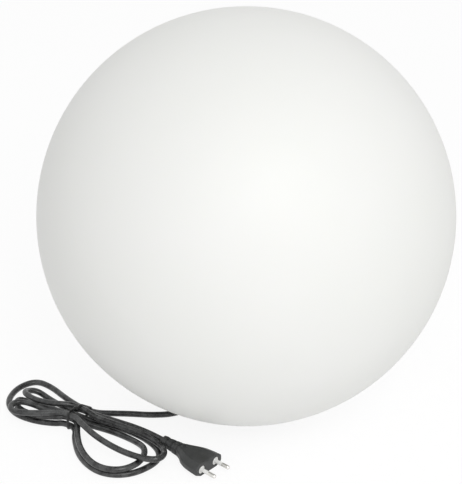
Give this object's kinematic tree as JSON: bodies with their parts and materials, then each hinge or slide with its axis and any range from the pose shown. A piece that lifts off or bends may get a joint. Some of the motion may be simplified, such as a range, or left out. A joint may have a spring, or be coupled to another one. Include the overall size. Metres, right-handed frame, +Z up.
{
  "type": "garden globe light",
  "caption": "Round white garden light: a hollow globe on a low base with a screw-cap bulb inside, and a mains cord tied in a hank with a flat two-pin plug.",
  "frame": {"origin": "middle of the base on the ground", "axes": "+Z up through the globe's middle; -Y is towards the picture's camera, and the cord lies at the front left"},
  "size_m": [0.4416, 0.4, 0.4],
  "materials": {
    "globe_pe": "satin, white rotation-moulded polyethylene",
    "gasket_rubber": "matt",
    "base_pp": "fine spark-eroded grain",
    "foot_rubber": "matt",
    "cover_pp": "fine grain",
    "boot_rubber": "matt",
    "clamp_pa": "natural polyamide",
    "block_pa": "natural polyamide",
    "screw_steel": "zinc plated",
    "terminal_brass": "nickelled brass",
    "core_brown": "insulation",
    "core_blue": "insulation",
    "holder_plastic": "moulded thermoset",
    "holder_ceramic": "steatite",
    "holder_metal": "nickelled brass",
    "bulb_cap_metal": "nickelled",
    "bulb_glass_black": "vitrite",
    "bulb_solder": "solder",
    "bulb_white": "moulded",
    "bulb_board_white": "coated aluminium board",
    "bulb_opal": "opal polycarbonate",
    "cord_pvc": "satin",
    "tie_pvc": "coated wire",
    "plug_pvc": "satin",
    "pin_nickel": "nickel plated brass",
    "sleeve_plastic": "moulded"
  },
  "bodies": {
    "base": {"base_cap": "base_pp", "clamp_screw_left": "screw_steel", "clamp_screw_right": "screw_steel", "clamp_seat": "clamp_pa", "cord_boot": "boot_rubber", "cord_clamp": "clamp_pa", "cord_end": "cord_pvc", "cord_hank": "cord_pvc", "cord_run": "cord_pvc", "cord_tail": "cord_pvc", "cord_tie": "tie_pvc", "core_left": "core_blue", "core_right": "core_brown", "cover_screw_1": "screw_steel", "cover_screw_2": "screw_steel", "cover_screw_3": "screw_steel", "holder_screw_1": "screw_steel", "holder_screw_2": "screw_steel", "lamp_lead_left": "core_blue", "lamp_lead_right": "core_brown", "lampholder_body": "holder_plastic", "lampholder_contact": "holder_metal", "lampholder_insert": "holder_ceramic", "lampholder_screw_shell": "holder_metal", "pin_sleeve_left": "sleeve_plastic", "pin_sleeve_right": "sleeve_plastic", "plug_body": "plug_pvc", "plug_pin_left": "pin_nickel", "plug_pin_right": "pin_nickel", "rubber_foot_1": "foot_rubber", "rubber_foot_2": "foot_rubber", "rubber_foot_3": "foot_rubber", "rubber_foot_4": "foot_rubber", "terminal_block": "block_pa", "terminal_cover": "cover_pp", "terminal_screw_left": "terminal_brass", "terminal_screw_right": "terminal_brass"},
    "gasket": {"neck_gasket": "gasket_rubber"},
    "globe": {"globe_shell": "globe_pe"},
    "bulb": {"bulb_board": "bulb_board_white", "bulb_cap": "bulb_cap_metal", "bulb_contact": "bulb_solder", "bulb_dome": "bulb_opal", "bulb_housing": "bulb_white", "bulb_insulator": "bulb_glass_black"}
  },
  "joints": [
    {"name": "globe_lift", "type": "slide", "parent": "base", "child": "gasket", "axis": [0, 0, 1], "range_m": [0, 0.2]},
    {"name": "globe_turn", "type": "hinge", "parent": "gasket", "child": "globe", "pos_m": [0, 0, 0], "axis": [0, 0, 1], "continuous": true},
    {"name": "bulb_lift", "type": "slide", "parent": "base", "child": "bulb", "axis": [0, 0, 1], "range_m": [0, 0.04]}
  ]
}
